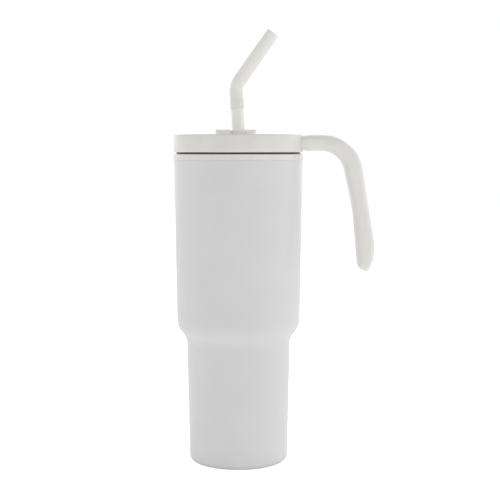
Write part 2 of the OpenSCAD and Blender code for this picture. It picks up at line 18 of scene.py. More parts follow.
import bmesh
import bpy
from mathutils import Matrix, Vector

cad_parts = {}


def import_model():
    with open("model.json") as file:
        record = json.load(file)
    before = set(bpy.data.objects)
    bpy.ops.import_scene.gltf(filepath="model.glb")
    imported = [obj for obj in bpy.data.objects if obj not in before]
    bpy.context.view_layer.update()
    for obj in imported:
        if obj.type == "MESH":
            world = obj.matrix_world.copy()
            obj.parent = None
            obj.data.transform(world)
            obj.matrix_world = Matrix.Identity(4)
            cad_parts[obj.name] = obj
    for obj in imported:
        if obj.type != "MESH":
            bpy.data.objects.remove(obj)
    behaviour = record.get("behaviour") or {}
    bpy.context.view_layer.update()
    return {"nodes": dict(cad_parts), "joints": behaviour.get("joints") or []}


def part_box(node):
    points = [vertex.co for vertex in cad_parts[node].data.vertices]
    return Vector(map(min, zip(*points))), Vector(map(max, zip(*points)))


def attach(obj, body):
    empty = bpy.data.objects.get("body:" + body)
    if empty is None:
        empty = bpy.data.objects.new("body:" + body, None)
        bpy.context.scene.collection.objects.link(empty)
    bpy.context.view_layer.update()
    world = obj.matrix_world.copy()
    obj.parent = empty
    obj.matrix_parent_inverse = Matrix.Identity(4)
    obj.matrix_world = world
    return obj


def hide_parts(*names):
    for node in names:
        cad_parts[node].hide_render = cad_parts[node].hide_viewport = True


LOG = logging.getLogger("tumbler")
MM = 0.001
Corner = tuple[float, float, float]
Point2 = tuple[float, float]


# ------------------------------------------------------------------ node trees


def add_node(
    tree: bpy.types.NodeTree,
    kind: str,
    settings: dict[str, object] | None = None,
    links: dict[str, bpy.types.NodeSocket] | None = None,
) -> bpy.types.Node:
    """Adds one node to a tree.

    Args:
        tree: Node tree that takes the node.
        kind: Blender's type name for the node.
        settings: Values by name, for a property of the node or else for an input socket.
        links: Output sockets by the name of the input that they feed.

    Returns:
        The new node.
    """
    node = tree.nodes.new(kind)
    for name, value in (settings or {}).items():
        if name in node.bl_rna.properties:
            setattr(node, name, value)
        else:
            node.inputs[name].default_value = value
    for name, socket in (links or {}).items():
        target = int(name) if name.isdigit() else name
        tree.links.new(socket, node.inputs[target])
    return node


def linear(hex_colour: str) -> tuple[float, float, float, float]:
    """Turns an sRGB hex colour into linear light.

    Args:
        hex_colour: Colour such as "#e6e4df".

    Returns:
        Linear red, green and blue with an alpha of one.
    """
    parts = [int(hex_colour[i : i + 2], 16) / 255 for i in (1, 3, 5)]
    red, green, blue = (p / 12.92 if p <= 0.04045 else ((p + 0.055) / 1.055) ** 2.4 for p in parts)
    return (red, green, blue, 1.0)


def per_metre(size_mm: float) -> float:
    """Noise scale whose features are size_mm across, for coordinates in metres."""
    return 1.0 / (size_mm * MM)


# -------------------------------------------------------------------- finishes


@dataclass(frozen=True)
class Finish:
    """What every finish shares: a name, a record slot and a base colour."""

    name: str
    slot: str
    colour: str

    def build(self) -> bpy.types.Material:
        """Makes the material.

        Returns:
            A new material with its node tree filled in.
        """
        material = bpy.data.materials.new(self.name)
        material.use_nodes = True
        material.diffuse_color = linear(self.colour)
        tree = material.node_tree
        tree.nodes.clear()
        shader = self.shade(tree)
        add_node(tree, "ShaderNodeOutputMaterial", links={"Surface": shader.outputs["BSDF"]})
        return material

    def shade(self, tree: bpy.types.NodeTree) -> bpy.types.Node:
        """Adds the surface shader and what feeds it.

        Args:
            tree: The material's node tree.

        Returns:
            The Principled shader node.
        """
        raise NotImplementedError


def mottled(
    tree: bpy.types.NodeTree,
    where: bpy.types.NodeSocket,
    size_mm: float,
    dark: tuple[float, float, float, float],
    light: tuple[float, float, float, float],
) -> bpy.types.NodeSocket:
    """A slow drift between two close colours, as pigment gives.

    Args:
        tree: The material's node tree.
        where: Coordinates in metres.
        size_mm: Size of a patch.
        dark: Colour of the darker patches.
        light: Colour of the lighter patches.

    Returns:
        The colour output.
    """
    noise = add_node(
        tree,
        "ShaderNodeTexNoise",
        {"Scale": per_metre(size_mm), "Detail": 3.0, "Roughness": 0.6},
        {"Vector": where},
    )
    ramp = add_node(tree, "ShaderNodeValToRGB", links={"Fac": noise.outputs["Fac"]})
    ramp.color_ramp.elements[0].position = 0.3
    ramp.color_ramp.elements[0].color = dark
    ramp.color_ramp.elements[1].position = 0.7
    ramp.color_ramp.elements[1].color = light
    return ramp.outputs["Color"]


def spread(
    tree: bpy.types.NodeTree, value: bpy.types.NodeSocket, low: float, high: float
) -> bpy.types.NodeSocket:
    """Maps a 0 to 1 value onto a range.

    Args:
        tree: The material's node tree.
        value: The value to map.
        low: Result at 0.
        high: Result at 1.

    Returns:
        The mapped output.
    """
    node = add_node(
        tree, "ShaderNodeMapRange", {"To Min": low, "To Max": high}, {"Value": value}
    )
    return node.outputs["Result"]


@dataclass(frozen=True)
class PowderCoat(Finish):
    """Baked powder coat on steel: dead matt, with a fine pebble from the fused grains."""

    shade_colour: str = "#d9d9d9"
    pebble_mm: float = 0.9
    patch_mm: float = 45.0

    def shade(self, tree: bpy.types.NodeTree) -> bpy.types.Node:
        """Adds the coat's shader. See Finish.shade."""
        where = add_node(tree, "ShaderNodeTexCoord").outputs["Object"]
        colour = mottled(tree, where, self.patch_mm, linear(self.shade_colour), linear(self.colour))
        # Fused grains are 0.05 to 0.1 mm, too fine to see here, so the pebble is drawn coarser.
        pebble = add_node(
            tree,
            "ShaderNodeTexNoise",
            {"Scale": per_metre(self.pebble_mm), "Detail": 4.0, "Roughness": 0.55},
            {"Vector": where},
        )
        fine = add_node(
            tree,
            "ShaderNodeTexVoronoi",
            {"Scale": per_metre(self.pebble_mm * 0.6), "feature": "SMOOTH_F1"},
            {"Vector": where},
        )
        relief = add_node(
            tree,
            "ShaderNodeMath",
            {"operation": "MULTIPLY"},
            {"0": pebble.outputs["Fac"], "1": fine.outputs["Distance"]},
        )
        bump = add_node(
            tree,
            "ShaderNodeBump",
            {"Strength": 0.35, "Distance": 0.00004},
            {"Height": relief.outputs["Value"]},
        )
        # Polyester powder: IOR near 1.5; a satin grade, which catches light along its outline.
        return add_node(
            tree,
            "ShaderNodeBsdfPrincipled",
            {"IOR": 1.5},
            {
                "Base Color": colour,
                "Roughness": spread(tree, pebble.outputs["Fac"], 0.34, 0.46),
                "Normal": bump.outputs["Normal"],
            },
        )


@dataclass(frozen=True)
class MouldedPlastic(Finish):
    """Injection-moulded polypropylene from a lightly spark-eroded tool: soft satin, warm white."""

    shade_colour: str = "#dfdedb"
    grain_mm: float = 0.5
    patch_mm: float = 30.0
    rough_low: float = 0.36
    rough_high: float = 0.48
    scatter: float = 0.12
    relief_m: float = 0.00002
    ior: float = 1.49

    def shade(self, tree: bpy.types.NodeTree) -> bpy.types.Node:
        """Adds the plastic's shader. See Finish.shade."""
        where = add_node(tree, "ShaderNodeTexCoord").outputs["Object"]
        colour = mottled(tree, where, self.patch_mm, linear(self.shade_colour), linear(self.colour))
        # Spark-eroded grain is about 0.1 mm, drawn coarser so that it breaks up the gloss.
        grain = add_node(
            tree,
            "ShaderNodeTexNoise",
            {"Scale": per_metre(self.grain_mm), "Detail": 5.0, "Roughness": 0.6},
            {"Vector": where},
        )
        flow = add_node(
            tree,
            "ShaderNodeTexNoise",
            {"Scale": per_metre(self.patch_mm * 0.4), "Detail": 2.0, "Distortion": 0.6},
            {"Vector": where},
        )
        bump = add_node(
            tree,
            "ShaderNodeBump",
            {"Strength": 0.3, "Distance": self.relief_m},
            {"Height": grain.outputs["Fac"]},
        )
        # Polypropylene's IOR is 1.49; a little light passes under the skin.
        return add_node(
            tree,
            "ShaderNodeBsdfPrincipled",
            {
                "IOR": self.ior,
                "Subsurface Weight": self.scatter,
                "Subsurface Radius": (1.0, 0.95, 0.9),
                "Subsurface Scale": 0.0015,
            },
            {
                "Base Color": colour,
                "Roughness": spread(tree, flow.outputs["Fac"], self.rough_low, self.rough_high),
                "Normal": bump.outputs["Normal"],
            },
        )


@dataclass(frozen=True)
class Silicone(Finish):
    """Food-grade silicone rubber: soft matt skin that scatters light a little."""

    shade_colour: str = "#cfcdc8"
    dust_mm: float = 0.7
    scatter: float = 0.3
    scatter_mm: float = 2.0
    relief_m: float = 0.00001
    rough_low: float = 0.48
    rough_high: float = 0.62

    def shade(self, tree: bpy.types.NodeTree) -> bpy.types.Node:
        """Adds the rubber's shader. See Finish.shade."""
        where = add_node(tree, "ShaderNodeTexCoord").outputs["Object"]
        colour = mottled(tree, where, 12.0, linear(self.shade_colour), linear(self.colour))
        dust = add_node(
            tree,
            "ShaderNodeTexNoise",
            {"Scale": per_metre(self.dust_mm), "Detail": 6.0, "Roughness": 0.7},
            {"Vector": where},
        )
        bump = add_node(
            tree,
            "ShaderNodeBump",
            {"Strength": 0.25, "Distance": self.relief_m},
            {"Height": dust.outputs["Fac"]},
        )
        # Silicone rubber: IOR 1.41.
        return add_node(
            tree,
            "ShaderNodeBsdfPrincipled",
            {
                "IOR": 1.41,
                "Subsurface Weight": self.scatter,
                "Subsurface Radius": (1.0, 0.97, 0.92),
                "Subsurface Scale": self.scatter_mm * MM,
            },
            {
                "Base Color": colour,
                "Roughness": spread(tree, dust.outputs["Fac"], self.rough_low, self.rough_high),
                "Normal": bump.outputs["Normal"],
            },
        )


@dataclass(frozen=True)
class BrushedSteel(Finish):
    """Stainless steel 18/8, brushed on a lathe, so that its scratches run round the axis."""

    scratch_mm: float = 0.35
    # How far the scratches drift in a radian round the axis, so that no ring is perfect.
    drift_m: float = 0.004

    def shade(self, tree: bpy.types.NodeTree) -> bpy.types.Node:
        """Adds the metal's shader. See Finish.shade."""
        where = add_node(tree, "ShaderNodeTexCoord").outputs["Object"]
        axes = add_node(tree, "ShaderNodeSeparateXYZ", links={"Vector": where})
        flat = add_node(
            tree,
            "ShaderNodeCombineXYZ",
            links={"X": axes.outputs["X"], "Y": axes.outputs["Y"]},
        )
        radius = add_node(
            tree, "ShaderNodeVectorMath", {"operation": "LENGTH"}, {"Vector": flat.outputs["Vector"]}
        )
        around = add_node(
            tree,
            "ShaderNodeMath",
            {"operation": "ARCTAN2"},
            {"0": axes.outputs["Y"], "1": axes.outputs["X"]},
        )
        slow = add_node(
            tree, "ShaderNodeMath", {"operation": "MULTIPLY"}, {"0": around.outputs["Value"]}
        )
        slow.inputs[1].default_value = self.drift_m
        line = add_node(
            tree,
            "ShaderNodeCombineXYZ",
            links={
                "X": radius.outputs["Value"],
                "Y": axes.outputs["Z"],
                "Z": slow.outputs["Value"],
            },
        )
        # Belt scratches are a few hundredths of a millimetre, drawn wide enough to show.
        scratches = add_node(
            tree,
            "ShaderNodeTexNoise",
            {"Scale": per_metre(self.scratch_mm), "Detail": 4.0, "Roughness": 0.65},
            {"Vector": line.outputs["Vector"]},
        )
        bump = add_node(
            tree,
            "ShaderNodeBump",
            {"Strength": 0.25, "Distance": 0.00002},
            {"Height": scratches.outputs["Fac"]},
        )
        return add_node(
            tree,
            "ShaderNodeBsdfPrincipled",
            {"Base Color": linear(self.colour), "Metallic": 1.0},
            {
                "Roughness": spread(tree, scratches.outputs["Fac"], 0.2, 0.42),
                "Normal": bump.outputs["Normal"],
            },
        )


# ---------------------------------------------------------------- mesh builders


def unit(x: float, y: float) -> Point2:
    """Direction of a flat vector, with length one."""
    size = math.hypot(x, y)
    return (x / size, y / size)


def inset_path(path: Sequence[Corner], gap: float) -> list[Corner]:
    """Moves a path sideways, towards its left, with its corners kept true.

    Args:
        path: Corners as (radius, height, rounding).
        gap: Distance to move.

    Returns:
        The moved corners.
    """
    moved: list[Corner] = []
    last = len(path) - 1
    for i, (x, y, rounding) in enumerate(path):
        before = path[max(i, 1) - 1]
        start = path[max(i, 1)]
        ahead = path[min(i, last - 1) + 1]
        origin = path[min(i, last - 1)]
        a = unit(start[0] - before[0], start[1] - before[1])
        b = unit(ahead[0] - origin[0], ahead[1] - origin[1])
        scale = gap / (1 + a[0] * b[0] + a[1] * b[1])
        turn = math.copysign(1.0, a[0] * b[1] - a[1] * b[0])
        kept = 0.0 if rounding == 0 else max(0.05, rounding - turn * gap)
        moved.append((x - (a[1] + b[1]) * scale, y + (a[0] + b[0]) * scale, kept))
    return moved


def rounded(path: Sequence[Corner], steps: int = 10, closed: bool = False) -> list[Point2]:
    """Rounds the corners of a path.

    Args:
        path: Corners as (radius, height, rounding).
        steps: Points along each rounded corner.
        closed: Whether the last corner joins the first.

    Returns:
        The points of the rounded path.
    """
    points: list[Point2] = []
    count = len(path)
    for i, (x, y, rounding) in enumerate(path):
        at_end = not closed and i in (0, count - 1)
        if at_end or rounding == 0:
            points.append((x, y))
            continue
        before = path[i - 1]
        after = path[(i + 1) % count]
        u = unit(before[0] - x, before[1] - y)
        v = unit(after[0] - x, after[1] - y)
        half = math.acos(max(-1.0, min(1.0, u[0] * v[0] + u[1] * v[1]))) / 2
        middle = unit(u[0] + v[0], u[1] + v[1])
        centre = (x + middle[0] * rounding / math.sin(half), y + middle[1] * rounding / math.sin(half))
        reach = rounding / math.tan(half)
        from_x = x + u[0] * reach - centre[0]
        from_y = y + u[1] * reach - centre[1]
        sweep = -math.copysign(math.pi - 2 * half, u[0] * v[1] - u[1] * v[0])
        for k in range(steps + 1):
            w = sweep * k / steps
            points.append(
                (
                    centre[0] + from_x * math.cos(w) - from_y * math.sin(w),
                    centre[1] + from_x * math.sin(w) + from_y * math.cos(w),
                )
            )
    return points


def refine(points: Sequence[Point2], longest: float) -> list[Point2]:
    """Splits the long stretches of a closed outline into even steps.

    Args:
        points: The outline.
        longest: Longest step that may stay.

    Returns:
        The outline with points added.
    """
    out: list[Point2] = []
    for i, (x, y) in enumerate(points):
        nx, ny = points[(i + 1) % len(points)]
        parts = max(1, math.ceil(math.hypot(nx - x, ny - y) / longest))
        out.extend((x + (nx - x) * k / parts, y + (ny - y) * k / parts) for k in range(parts))
    return out


def mesh_object(name: str, bm: bmesh.types.BMesh, sharp_degrees: float = 32.0) -> bpy.types.Object:
    """Turns a finished bmesh into a smooth-shaded object in the scene.

    Args:
        name: Name of the piece.
        bm: The mesh, in metres. It is freed here.
        sharp_degrees: Edges that turn more than this stay sharp.

    Returns:
        The new object.
    """
    bmesh.ops.remove_doubles(bm, verts=bm.verts, dist=1e-7)
    bmesh.ops.recalc_face_normals(bm, faces=bm.faces)
    data = bpy.data.meshes.new(name)
    bm.to_mesh(data)
    bm.free()
    data.shade_smooth()
    data.set_sharp_from_angle(angle=math.radians(sharp_degrees))
    obj = bpy.data.objects.new(name, data)
    bpy.context.scene.collection.objects.link(obj)
    return obj


def lathe(name: str, outline: Sequence[Point2], segments: int = 192) -> bpy.types.Object:
    """Spins a closed outline round the Z axis.

    Args:
        name: Name of the piece.
        outline: Points as (radius, height) in millimetres.
        segments: Steps in a full turn.

    Returns:
        The new object.
    """
    bm = bmesh.new()
    rings = []
    for k in range(segments):
        turn = math.tau * k / segments
        c, s = math.cos(turn) * MM, math.sin(turn) * MM
        rings.append([bm.verts.new((r * c, r * s, z * MM)) for r, z in outline])
    count = len(outline)
    for k in range(segments):
        here, there = rings[k], rings[(k + 1) % segments]
        for j in range(count):
            n = (j + 1) % count
            bm.faces.new((here[j], there[j], there[n], here[n]))
    return mesh_object(name, bm)


def loft(name: str, rings: Sequence[Sequence[Vector]], wrap: bool = False) -> bpy.types.Object:
    """Joins rings of points, in order, into one closed surface.

    Args:
        name: Name of the piece.
        rings: Rings with the same number of points, in metres.
        wrap: Whether the last ring joins the first. If not, both ends are capped.

    Returns:
        The new object.
    """
    bm = bmesh.new()
    made = [[bm.verts.new(p) for p in ring] for ring in rings]
    count = len(made[0])
    pairs = list(zip(made, made[1:])) + ([(made[-1], made[0])] if wrap else [])
    for here, there in pairs:
        for j in range(count):
            n = (j + 1) % count
            bm.faces.new((here[j], here[n], there[n], there[j]))
    if not wrap:
        bm.faces.new(reversed(made[0]))
        bm.faces.new(made[-1])
    return mesh_object(name, bm)


def soften(node: bpy.types.Object, width_mm: float, degrees: float = 35.0, segments: int = 2) -> None:
    """Rounds the crisp edges of a CAD node with modifiers, which leave its mesh alone.

    Args:
        node: The node's object.
        width_mm: Size of the rounding.
        degrees: Edges that turn less than this stay as they are.
        segments: Steps in the rounding.
    """
    weld = node.modifiers.new("weld", "WELD")
    weld.merge_threshold = 1e-6
    bevel = node.modifiers.new("edge_rounding", "BEVEL")
    bevel.width = width_mm * MM
    bevel.segments = segments
    bevel.limit_method = "ANGLE"
    bevel.angle_limit = math.radians(degrees)
    bevel.harden_normals = True


def dress(obj: bpy.types.Object, material: bpy.types.Material) -> None:
    """Gives an object one material in place of all that it has.

    Args:
        obj: The object.
        material: The material.
    """
    if not obj.material_slots:
        obj.data.materials.append(material)
    for index in range(len(obj.material_slots)):
        obj.material_slots[index].link = "OBJECT"
        obj.material_slots[index].material = material


# --------------------------------------------------------------- the materials


class Look(Enum):
    """The finishes of the tumbler."""

    POWDER_COAT = PowderCoat("baked_powder_coat", "powder_coat", "#dddddd")
    LID = MouldedPlastic("moulded_polypropylene", "lid_plastic", "#e6e5e1", "#dfddd9")
    # Painted light: the grip is the lid's own polypropylene, made a little lighter so that the handle
    # reads brighter than the lid.
    GRIP_LIGHTENED = MouldedPlastic("grip_polypropylene_painted_light", "lid_plastic", "#ebeae7", "#e5e4e1")
    # Painted light: the closure is the lid's own polypropylene, made much lighter to offset the shade
    # that falls on its wings and disc in the lid's recess.
    CLOSURE_LIGHTENED = MouldedPlastic("closure_polypropylene_painted_light", "lid_plastic", "#f6f5f2", "#f1f0ed")
    TUBE = MouldedPlastic(
        "extruded_polypropylene", "straw_plastic", "#fbfaf6", "#f7f6f1", grain_mm=0.8, scatter=0.25
    )
    TIP = Silicone(
        "white_silicone", "straw_silicone", "#f1efea", "#edebe6", scatter=0.08, relief_m=0.000002
    )
    # Partly the silicone's own pale colour, partly painted light: it is raised near to white to offset
    # the shade on the straw grommet in the lid's pocket.
    SOFT_LIGHTENED = Silicone(
        "translucent_silicone_painted_light", "clear_silicone", "#fefdfb", "#fbfaf7", scatter=0.5, scatter_mm=4.0
    )
    GASKET = Silicone(
        "black_silicone", "black_silicone", "#242422", "#1a1a18", scatter=0.0, rough_low=0.42
    )
    STEEL = BrushedSteel("brushed_stainless_steel", "steel", "#c4c4c2")
    GLASS = MouldedPlastic(
        "solder_glass",
        "solder_glass",
        "#5c635e",
        "#4a504c",
        scatter=0.0,
        rough_low=0.08,
        rough_high=0.16,
        ior=1.7,
    )
    GETTER = MouldedPlastic(
        "pressed_getter_powder",
        "getter_metal",
        "#6a6c6e",
        "#505254",
        grain_mm=0.25,
        scatter=0.0,
        rough_low=0.7,
        rough_high=0.85,
        relief_m=0.0001,
        ior=1.6,
    )


class Palette:
    """Builds each finish once and hands it out."""

    def __init__(self) -> None:
        """Starts with nothing built."""
        self._made: dict[str, bpy.types.Material] = {}

    def __getitem__(self, look: Look) -> bpy.types.Material:
        """The material of a finish, made on its first use."""
        finish: Finish = look.value
        if finish.name not in self._made:
            self._made[finish.name] = finish.build()
        return self._made[finish.name]


# ------------------------------------------------------------------ assemblies


@dataclass
class Tumbler:
    """Double-walled body: outer shell, liner, base pieces and threaded collar."""

    palette: Palette
    nodes: dict[str, bpy.types.Object]
    base_r: float = 37.4
    lip_w: float = 7.4
    foot_top_r: float = 39.35
    shoulder_low_z: float = 95.0
    shoulder_rise: float = 8.7
    belly_r: float = 46.65
    corner_r: float = 4.0
    shoulder_low_r: float = 12.0
    shoulder_top_r: float = 15.0
    wall: float = 0.8
    segments: int = 256
    corner_steps: int = 16
    longest_step: float = 6.0

    def build(self) -> list[bpy.types.Object]:
        """Makes and dresses the body.

        Returns:
            The new pieces.
        """
        low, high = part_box("outer_shell")
        lip_z, rim_z = low.z / MM, high.z / MM
        mouth_r = high.x / MM
        path: list[Corner] = [
            (self.base_r - self.lip_w, lip_z, 0.0),
            (self.base_r, lip_z, self.corner_r),
            (self.foot_top_r, self.shoulder_low_z, self.shoulder_low_r),
            (self.belly_r, self.shoulder_low_z + self.shoulder_rise, self.shoulder_top_r),
            (mouth_r, rim_z, 0.0),
        ]
        inner = rounded(inset_path(path, self.wall), self.corner_steps)
        inner[-1] = (inner[-1][0], rim_z)
        outline = rounded(path, self.corner_steps) + inner[::-1]
        shell = lathe("body_shell", refine(outline, self.longest_step), self.segments)
        dress(shell, self.palette[Look.POWDER_COAT])
        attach(shell, "cup")
        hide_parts("outer_shell")
        looks = {
            "shell_floor": Look.STEEL,
            "vacuum_seal": Look.GLASS,
            "getter_cup": Look.STEEL,
            "getter": Look.GETTER,
            "base_disc": Look.STEEL,
            "base_pad": Look.SOFT_LIGHTENED,
            "inner_liner": Look.STEEL,
            "rim_collar": Look.LID,
        }
        for name, look in looks.items():
            dress(self.nodes[name], self.palette[look])
        return [shell]


@dataclass
class Lid:
    """Screw lid: band and deck, threaded plug, gasket and the handle's screws."""

    palette: Palette
    nodes: dict[str, bpy.types.Object]
    edge: float = 0.25

    def build(self) -> list[bpy.types.Object]:
        """Dresses the lid's nodes.

        Returns:
            The new pieces, of which the lid has none of its own.
        """
        looks = {
            "lid_gasket": Look.GASKET,
            "lid_top": Look.LID,
            "lid_plug": Look.LID,
            "handle_screws": Look.STEEL,
        }
        for name, look in looks.items():
            dress(self.nodes[name], self.palette[look])
        soften(self.nodes["lid_top"], self.edge)
        return []


@dataclass
class Handle:
    """Side handle: an arm out of the lid, an elbow and a free-ended grip."""

    palette: Palette
    arm_len: float = 14.2
    arm_t: float = 12.0
    elbow_r: float = 24.5
    elbow_angle: float = 78.0
    elbow_t: float = 14.0
    grip_len: float = 71.6
    grip_angle: float = 7.5
    waist_t: float = 12.8
    bulb_t: float = 14.7
    end_len: float = 7.0
    outer_end_len: float = 20.0
    outer_fullness: float = 1.6
    width: float = 22.0
    root_w: float = 28.0
    root_less: float = 1.1
    squareness: float = 3.0
    skin: float = 0.03
    tongue_w: float = 13.0
    tongue_t: float = 3.3
    tongue_in_r: float = 38.6
    tongue_z: float = 238.75
    screw_at: tuple[float, float] = (41.43, 8.0)
    screw_hole_r: float = 1.7
    head_hole_r: float = 3.0
    head_depth: float = 1.75
    # The root narrows to the arm over this length, of which root_lap lies inside the band.
    root_run: float = 20.0
    root_lap: float = 2.0
    # Shares of the grip's length: down to the waist, and from there to the full bulb.
    waist_share: float = 0.35
    bulb_share: float = 0.5
    around: int = 56
    run_steps: int = 76
    cap_steps: int = 12
    tongue_steps: int = 28
    hole_steps: int = 32
    # Taken from the lid's node when the handle is built.
    band_r: float = field(init=False, default=0.0)
    top_z: float = field(init=False, default=0.0)

    def station(self, s: float) -> tuple[float, float, float, float, float]:
        """Place and size of the handle's section at a distance along it.

        Args:
            s: Distance in millimetres from the lid's band, along the centre line.

        Returns:
            X, Z, heading below level in radians, thickness and width.
        """
        band_r, top_z = self.band_r, self.top_z
        arm_z = top_z - self.arm_t / 2
        elbow_x = band_r + self.arm_len
        elbow_len = self.elbow_r * math.radians(self.elbow_angle)
        width = blend(self.root_w, self.width, (s + self.root_lap) / self.root_run)
        if s <= self.arm_len:
            thick = blend(self.arm_t - self.root_less, self.arm_t, (s - 0.5) / 3)
            return (band_r + s, arm_z, 0.0, thick, width)
        if s <= self.arm_len + elbow_len:
            a = (s - self.arm_len) / self.elbow_r
            share = (s - self.arm_len) / elbow_len
            x = elbow_x + self.elbow_r * math.sin(a)
            z = arm_z - self.elbow_r * (1 - math.cos(a))
            return (x, z, a, blend(self.arm_t, self.elbow_t, share), width)
        start = math.radians(self.elbow_angle)
        grip_r = self.grip_len / math.radians(self.grip_angle)
        run = min(s - self.arm_len - elbow_len, self.grip_len)
        beyond = s - self.arm_len - elbow_len - run
        a = start + run / grip_r
        x = elbow_x + self.elbow_r * math.sin(start) + grip_r * (math.sin(a) - math.sin(start))
        z = arm_z - self.elbow_r * (1 - math.cos(start)) + grip_r * (math.cos(a) - math.cos(start))
        share = run / self.grip_len
        thick = (
            blend(self.elbow_t, self.waist_t, share / self.waist_share)
            if share < self.waist_share
            else blend(self.waist_t, self.bulb_t, (share - self.waist_share) / self.bulb_share)
        )
        x += beyond * math.cos(a)
        z -= beyond * math.sin(a)
        past = run + beyond - self.grip_len
        outer_past = past - self.end_len + self.outer_end_len
        outer = thick / 2 * left_of(outer_past, self.outer_end_len, self.outer_fullness)
        inner = thick / 2 * left_of(past, self.end_len, 2.0)
        shift = (outer - inner) / 2
        x += shift * math.sin(a)
        z += shift * math.cos(a)
        width = self.width - thick + 2 * inner
        return (x, z, a, outer + inner - 2 * self.skin, width - 2 * self.skin)

    def section(self, s: float) -> list[Vector]:
        """Points round the handle at a distance along it.

        Args:
            s: Distance in millimetres from the lid's band.

        Returns:
            The ring of points, in metres.
        """
        x, z, a, thick, width = self.station(s)
        ring = []
        power = 2 / self.squareness
        for k in range(self.around):
            turn = math.tau * (k + 0.5) / self.around
            c, w = math.cos(turn), math.sin(turn)
            out = thick / 2 * math.copysign(abs(c) ** power, c)
            y = width / 2 * math.copysign(abs(w) ** power, w)
            px = x + out * math.sin(a)
            if s == 0.0:
                px = math.sqrt((self.band_r + 0.05) ** 2 - y * y)
            ring.append(Vector((px, y, z + out * math.cos(a))) * MM)
        return ring

    def build(self) -> list[bpy.types.Object]:
        """Makes and dresses the handle and its tongue.

        Returns:
            The new pieces.
        """
        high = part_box("lid_top")[1]
        self.band_r = -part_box("lid_top")[0].x / MM
        self.top_z = high.z / MM
        body = self.arm_len + self.elbow_r * math.radians(self.elbow_angle) + self.grip_len
        near = [0.0, 1.0, 2.0, 3.0, 4.0, 5.5, 7.0]
        root_end = near[-1]
        steps = self.run_steps
        run = [root_end + (body - root_end) * k / steps for k in range(1, steps + 1)]
        # The last ring stops a little short of the tip, so that the end's cap isn't a point.
        turns = [math.pi / 2 * k / (self.cap_steps + 0.3) for k in range(1, self.cap_steps + 1)]
        cap = [body + self.end_len * math.sin(turn) for turn in turns]
        grip = loft("handle_grip", [self.section(s) for s in near + run + cap])
        dress(grip, self.palette[Look.GRIP_LIGHTENED])
        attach(grip, "lid")
        tongue = self.tongue()
        dress(tongue, self.palette[Look.GRIP_LIGHTENED])
        tongue.parent = grip
        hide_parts("handle")
        return [grip, tongue]

    def tongue(self) -> bpy.types.Object:
        """The curved plate that holds the handle inside the lid, with two stepped screw holes.

        Returns:
            The new object.
        """
        outer = self.band_r + 0.6
        steps = self.tongue_steps
        across = [self.tongue_w * (2 * k / steps - 1) for k in range(steps + 1)]
        outline = [(math.sqrt(outer**2 - y * y), y) for y in across]
        outline += [(math.sqrt(self.tongue_in_r**2 - y * y), y) for y in reversed(across)]
        low, ledge = self.tongue_z, self.tongue_z + self.head_depth
        high = self.tongue_z + self.tongue_t
        bm = bmesh.new()

        def loop(points: Sequence[Point2], z: float) -> list[bmesh.types.BMVert]:
            """Closed loop of vertices and edges at one height."""
            verts = [bm.verts.new((x * MM, y * MM, z * MM)) for x, y in points]
            for here, there in zip(verts, verts[1:] + verts[:1]):
                bm.edges.new((here, there))
            return verts

        def wall(here: Sequence[bmesh.types.BMVert], there: Sequence[bmesh.types.BMVert]) -> None:
            """Joins two loops of the same length."""
            for j in range(len(here)):
                n = (j + 1) % len(here)
                bm.faces.new((here[j], here[n], there[n], there[j]))

        def circle(side: int, radius: float) -> list[Point2]:
            """Points round a screw."""
            x, y = self.screw_at
            turns = [math.tau * k / self.hole_steps for k in range(self.hole_steps)]
            return [(x + radius * math.cos(t), side * y + radius * math.sin(t)) for t in turns]

        def lid_off(loops: Sequence[Sequence[bmesh.types.BMVert]], facing: float) -> None:
            """Fills the flat face between an outline and the holes in it."""
            edges = {e for verts in loops for v in verts for e in v.link_edges if not e.link_faces}
            bmesh.ops.triangle_fill(bm, use_beauty=True, edges=list(edges), normal=(0, 0, facing))

        sides = (-1, 1)
        low_loops = [loop(outline, low)]
        low_loops += [loop(circle(side, self.head_hole_r), low) for side in sides]
        lid_off(low_loops, -1.0)
        high_loops = [loop(outline, high)]
        high_loops += [loop(circle(side, self.screw_hole_r), high) for side in sides]
        lid_off(high_loops, 1.0)
        wall(low_loops[0], high_loops[0])
        for index, side in enumerate(sides, start=1):
            wide = loop(circle(side, self.head_hole_r), ledge)
            narrow = loop(circle(side, self.screw_hole_r), ledge)
            wall(low_loops[index], wide)
            wall(wide, narrow)
            wall(narrow, high_loops[index])
        return mesh_object("handle_tongue", bm)


def left_of(past: float, length: float, fullness: float) -> float:
    """Share of a half thickness that is left at a distance past the start of a rounded end.

    Args:
        past: Distance past the start.
        length: Length of the rounded end.
        fullness: 2 gives an ellipse, less gives a more pointed end.

    Returns:
        The share, from 1 to 0.
    """
    if past <= 0:
        return 1.0
    return max(0.0, 1 - (past / length) ** fullness) ** (1 / fullness)


def blend(a: float, b: float, share: float) -> float:
    """Smooth step from a to b as share goes from 0 to 1."""
    k = max(0.0, min(1.0, share))
    return a + (b - a) * k * k * (3 - 2 * k)


@dataclass
class Closure:
    """Rotating sip closure: disc with finger wings, pads, O-ring and clip."""

    palette: Palette
    nodes: dict[str, bpy.types.Object]
    edge: float = 0.35

    def build(self) -> list[bpy.types.Object]:
        """Dresses the closure's nodes.

        Returns:
            The new pieces, of which the closure has none of its own.
        """
        looks = {
            "closure_dial": Look.CLOSURE_LIGHTENED,
            "sip_seal": Look.SOFT_LIGHTENED,
            "vent_seal": Look.SOFT_LIGHTENED,
            "hub_oring": Look.SOFT_LIGHTENED,
            "dial_retainer": Look.STEEL,
            # The grommet's near-white silicone is partly painted light, raised to offset the shade of
            # its pocket.
            "straw_grommet": Look.SOFT_LIGHTENED,
        }
        for name, look in looks.items():
            dress(self.nodes[name], self.palette[look])
        soften(self.nodes["closure_dial"], self.edge)
        return []


